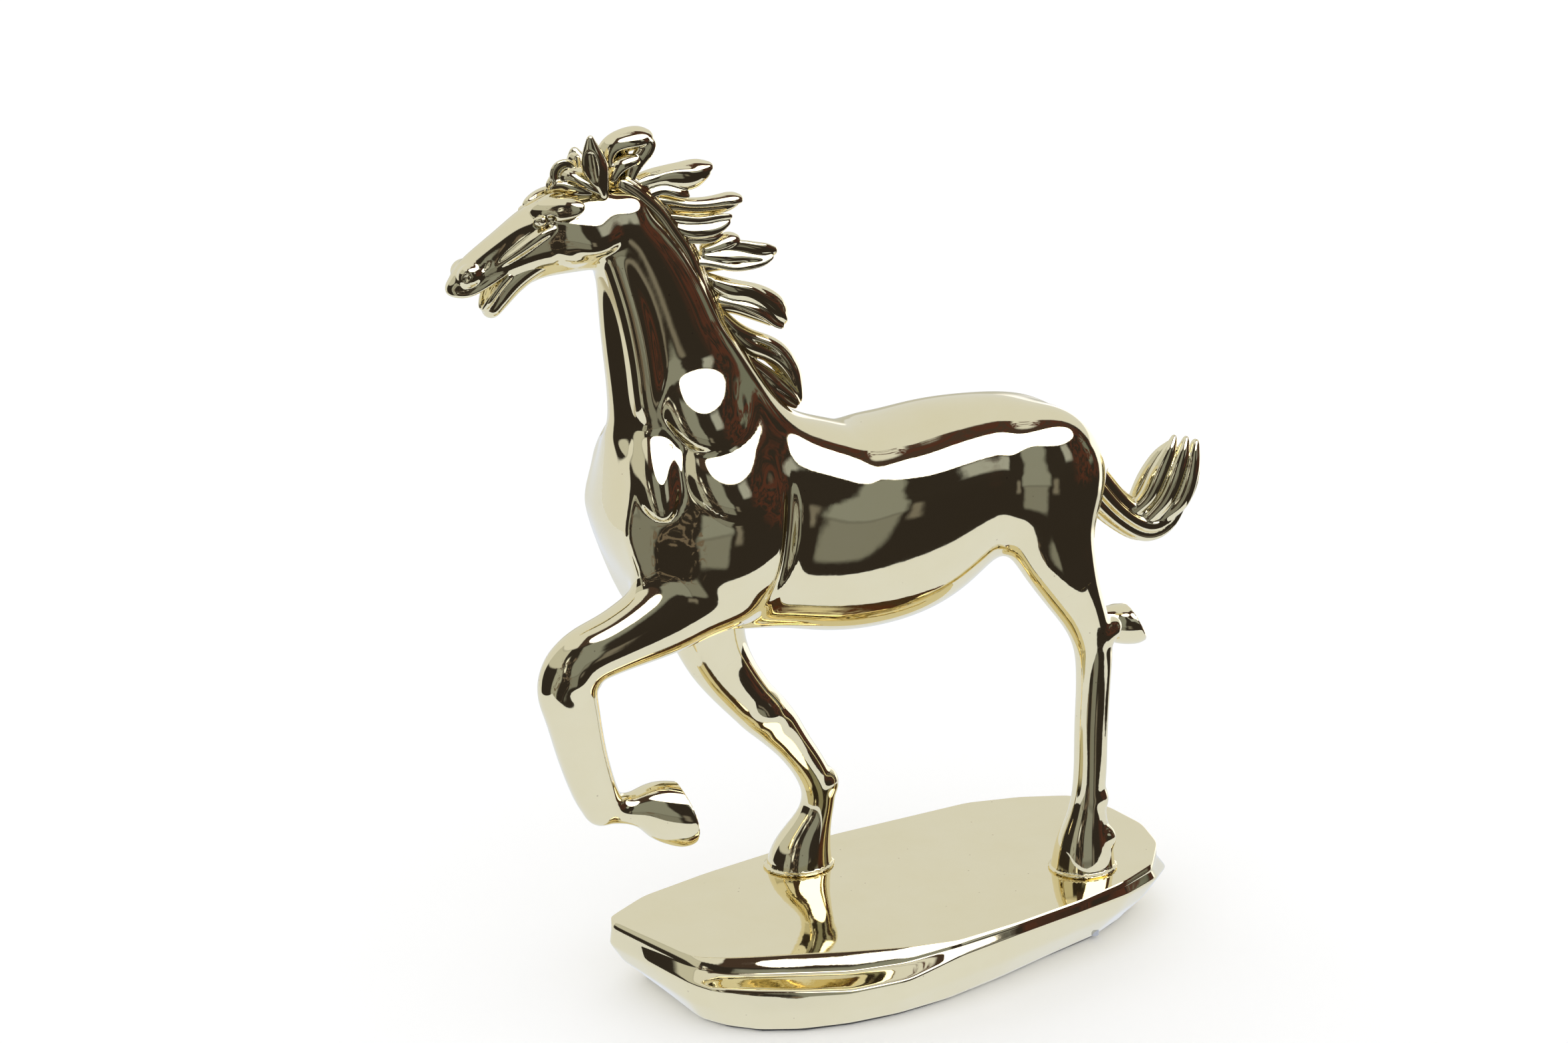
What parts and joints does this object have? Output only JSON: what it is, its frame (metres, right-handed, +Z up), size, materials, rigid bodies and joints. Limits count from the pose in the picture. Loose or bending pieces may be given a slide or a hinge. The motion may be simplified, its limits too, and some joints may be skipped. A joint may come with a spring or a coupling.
{
  "type": "horse statuette",
  "caption": "Decorative statuette of a prancing horse with a flying mane, cast in pale gold-plated metal, standing on a low rock-shaped base with a felt underside.",
  "frame": {"origin": "centre of the base's underside, on the surface that the statuette stands on", "axes": "+Z up; the horse faces -X and its left side faces -Y"},
  "size_m": [0.2698, 0.105, 0.2963],
  "materials": {
    "gold_plate": "mirror-polished pale gold plate",
    "steel": "machined, bright",
    "felt": "matt black wool felt"
  },
  "bodies": {
    "root": {"torso": "gold_plate", "neck": "gold_plate", "head": "gold_plate", "lower_jaw": "gold_plate", "left_ear": "gold_plate", "right_ear": "gold_plate", "forelock": "gold_plate", "poll_lock": "gold_plate", "mane_comb": "gold_plate", "mane_lock_1": "gold_plate", "mane_lock_2": "gold_plate", "mane_lock_3": "gold_plate", "mane_lock_4": "gold_plate", "mane_lock_5": "gold_plate", "tail": "gold_plate", "left_foreleg": "gold_plate", "right_foreleg": "gold_plate", "left_hind_leg": "gold_plate", "right_hind_leg": "gold_plate", "foreleg_dowels": "steel", "hind_leg_dowels": "steel", "tail_dowel": "steel", "base_shell": "gold_plate", "base_cover": "steel", "felt_pad": "felt", "hoof_studs": "steel", "hoof_washers": "steel", "hoof_nuts": "steel", "cover_screws": "steel"}
  },
  "joints": []
}
